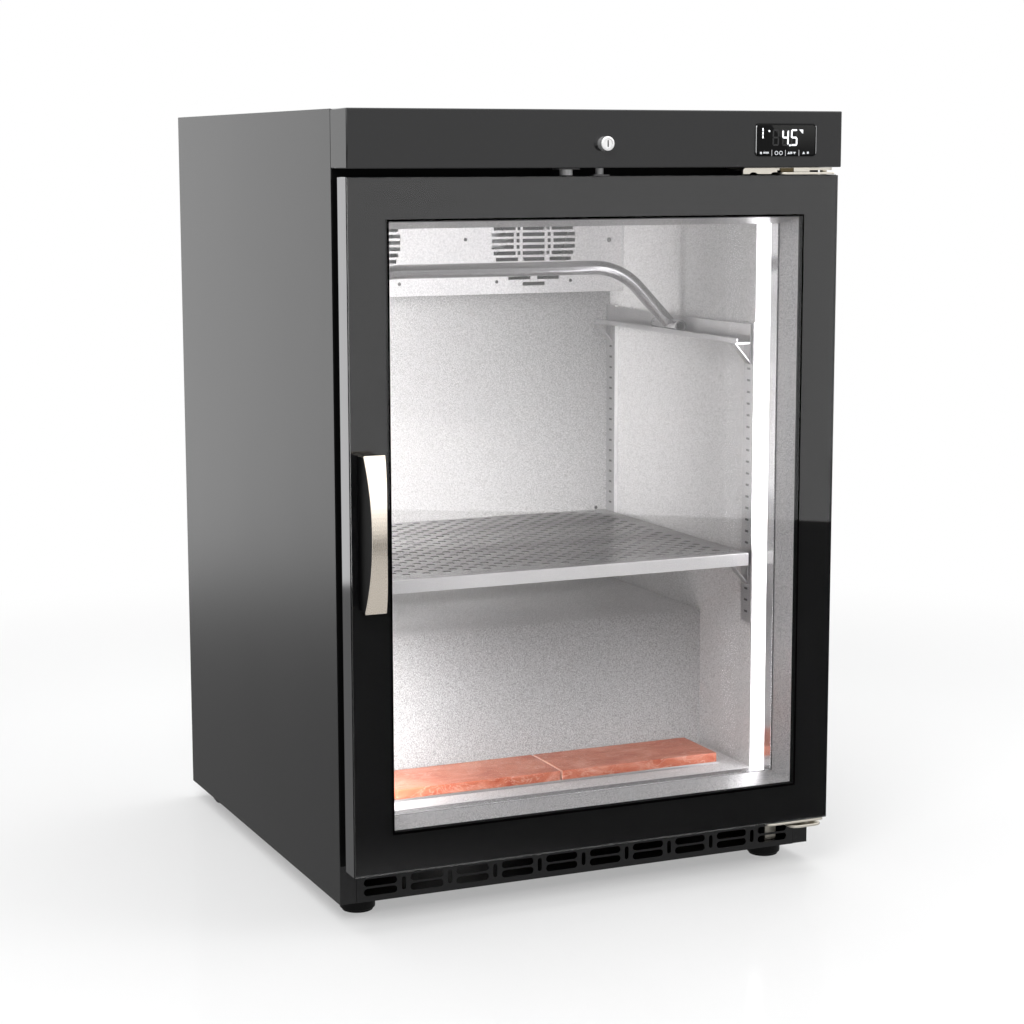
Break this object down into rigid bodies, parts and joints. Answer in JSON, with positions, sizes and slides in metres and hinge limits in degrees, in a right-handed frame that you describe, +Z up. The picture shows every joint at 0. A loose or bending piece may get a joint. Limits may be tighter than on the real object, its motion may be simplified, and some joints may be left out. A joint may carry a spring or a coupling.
{
  "type": "dry aging cabinet",
  "caption": "Undercounter refrigerated cabinet with a framed glass door, hanging bar, perforated shelf and salt blocks for dry aging meat.",
  "frame": {"origin": "on the floor under the feet, halfway along the overall width and the overall depth, handle included", "axes": "+X to the right seen from the front, +Y to the rear, +Z up; the door faces -Y"},
  "size_m": [0.595, 0.6704, 0.8869],
  "materials": {
    "black_paint": "satin",
    "black_frame": "satin",
    "black_plastic": "matte",
    "black_rubber": "matte",
    "galvanised": "satin",
    "embossed_liner": "satin",
    "foam": "matte",
    "brushed_steel": "satin",
    "chrome": "polished",
    "screen": "gloss",
    "zinc": "satin",
    "silver_frame": "satin",
    "glass": "gloss",
    "lamp_lens": "satin",
    "fin_metal": "satin",
    "copper": "satin",
    "salt": "matte"
  },
  "bodies": {
    "cabinet": {"outer_casing": "black_paint", "back_panel": "galvanised", "base_pan": "galvanised", "foam_body": "foam", "inner_liner": "embossed_liner", "front_frame": "black_frame", "plinth_grille": "black_paint", "rear_grille_cover": "galvanised", "header_panel": "black_paint", "controller_case": "chrome", "controller_lens": "screen", "lock_housing": "chrome", "door_switch_body": "black_plastic", "evaporator_cover": "brushed_steel", "evaporator_coil": "fin_metal", "evap_fan_carrier": "galvanised", "upright_front_left": "brushed_steel", "upright_front_right": "brushed_steel", "upright_rear_left": "brushed_steel", "upright_rear_right": "brushed_steel", "shelf_clip_front_left": "brushed_steel", "shelf_clip_front_right": "brushed_steel", "shelf_clip_rear_left": "brushed_steel", "shelf_clip_rear_right": "brushed_steel", "hanger_rail_left": "brushed_steel", "hanger_rail_right": "brushed_steel", "led_lamp_left": "lamp_lens", "led_lamp_right": "lamp_lens", "compressor": "black_paint", "condenser": "fin_metal", "condenser_fan_motor": "galvanised", "suction_line": "copper", "mains_inlet": "black_plastic", "hinge_bracket_top": "zinc", "hinge_bracket_bottom": "zinc"},
    "door": {"door_frame": "black_frame", "door_inner_frame": "silver_frame", "glass_front": "glass", "glass_rear": "glass", "door_gasket": "black_rubber", "handle_body": "black_plastic", "handle_cover": "chrome", "strike_plate": "brushed_steel", "door_plate_top": "zinc", "door_plate_bottom": "zinc"},
    "lock_cylinder_body": {"lock_cylinder": "chrome"},
    "lock_bolt_body": {"lock_bolt": "chrome"},
    "door_switch_plunger_body": {"door_switch_plunger": "chrome"},
    "foot_front_left_body": {"foot_front_left": "black_rubber"},
    "foot_front_right_body": {"foot_front_right": "black_rubber"},
    "foot_rear_left_body": {"foot_rear_left": "black_rubber"},
    "foot_rear_right_body": {"foot_rear_right": "black_rubber"},
    "hanging_bar_body": {"hanging_bar": "brushed_steel"},
    "shelf_body": {"shelf": "brushed_steel"},
    "salt_tray_body": {"salt_tray": "brushed_steel"},
    "salt_block_left_body": {"salt_block_left": "salt"},
    "salt_block_right_body": {"salt_block_right": "salt"},
    "evap_fan_left_body": {"evap_fan_left": "black_plastic"},
    "evap_fan_right_body": {"evap_fan_right": "black_plastic"},
    "condenser_fan_body": {"condenser_fan": "black_plastic"}
  },
  "joints": [
    {"name": "door_swing", "type": "hinge", "parent": "cabinet", "child": "door", "pos_m": [0.2835, -0.27525, 0.0646], "axis": [0, 0, 1], "range_deg": [0, 110]},
    {"name": "lock_turn", "type": "hinge", "parent": "cabinet", "child": "lock_cylinder_body", "pos_m": [-0.0018, -0.29075, 0.8505], "axis": [0, 1, 0], "range_deg": [0, 90]},
    {"name": "bolt_drop", "type": "slide", "parent": "cabinet", "child": "lock_bolt_body", "axis": [0, 0, -1], "range_m": [0, 0.0064]},
    {"name": "door_switch_press", "type": "slide", "parent": "cabinet", "child": "door_switch_plunger_body", "axis": [0, 0, 1], "range_m": [0, 0.003], "stiffness_N_per_m": 150, "springref_m": -0.004},
    {"name": "bar_slide", "type": "slide", "parent": "cabinet", "child": "hanging_bar_body", "axis": [0, 1, 0], "range_m": [-0.15, 0.14]},
    {"name": "shelf_lift", "type": "slide", "parent": "cabinet", "child": "shelf_body", "axis": [0, 0, 1], "range_m": [0, 0.12]},
    {"name": "tray_lift", "type": "slide", "parent": "cabinet", "child": "salt_tray_body", "axis": [0, 0, 1], "range_m": [0, 0.08]},
    {"name": "salt_left_lift", "type": "slide", "parent": "salt_tray_body", "child": "salt_block_left_body", "axis": [0, 0, 1], "range_m": [0, 0.1]},
    {"name": "salt_right_lift", "type": "slide", "parent": "salt_tray_body", "child": "salt_block_right_body", "axis": [0, 0, 1], "range_m": [0, 0.1]},
    {"name": "evap_fan_left_spin", "type": "hinge", "parent": "cabinet", "child": "evap_fan_left_body", "pos_m": [-0.12125, 0.17475, 0.7303], "axis": [0, 1, 0], "continuous": true},
    {"name": "evap_fan_right_spin", "type": "hinge", "parent": "cabinet", "child": "evap_fan_right_body", "pos_m": [0.12125, 0.17475, 0.7303], "axis": [0, 1, 0], "continuous": true},
    {"name": "condenser_fan_spin", "type": "hinge", "parent": "cabinet", "child": "condenser_fan_body", "pos_m": [0.1425, 0.06425, 0.1098], "axis": [0, 1, 0], "continuous": true},
    {"name": "foot_front_left_turn", "type": "hinge", "parent": "cabinet", "child": "foot_front_left_body", "pos_m": [-0.262, -0.19875, 0], "axis": [0, 0, 1], "continuous": true},
    {"name": "foot_front_right_turn", "type": "hinge", "parent": "cabinet", "child": "foot_front_right_body", "pos_m": [0.262, -0.19875, 0], "axis": [0, 0, 1], "continuous": true},
    {"name": "foot_rear_left_turn", "type": "hinge", "parent": "cabinet", "child": "foot_rear_left_body", "pos_m": [-0.262, 0.29025, 0], "axis": [0, 0, 1], "continuous": true},
    {"name": "foot_rear_right_turn", "type": "hinge", "parent": "cabinet", "child": "foot_rear_right_body", "pos_m": [0.262, 0.29025, 0], "axis": [0, 0, 1], "continuous": true}
  ],
  "couplings": [
    {"joint": "lock_turn", "follows": "bolt_drop", "rad_per_m": 245.44}
  ]
}
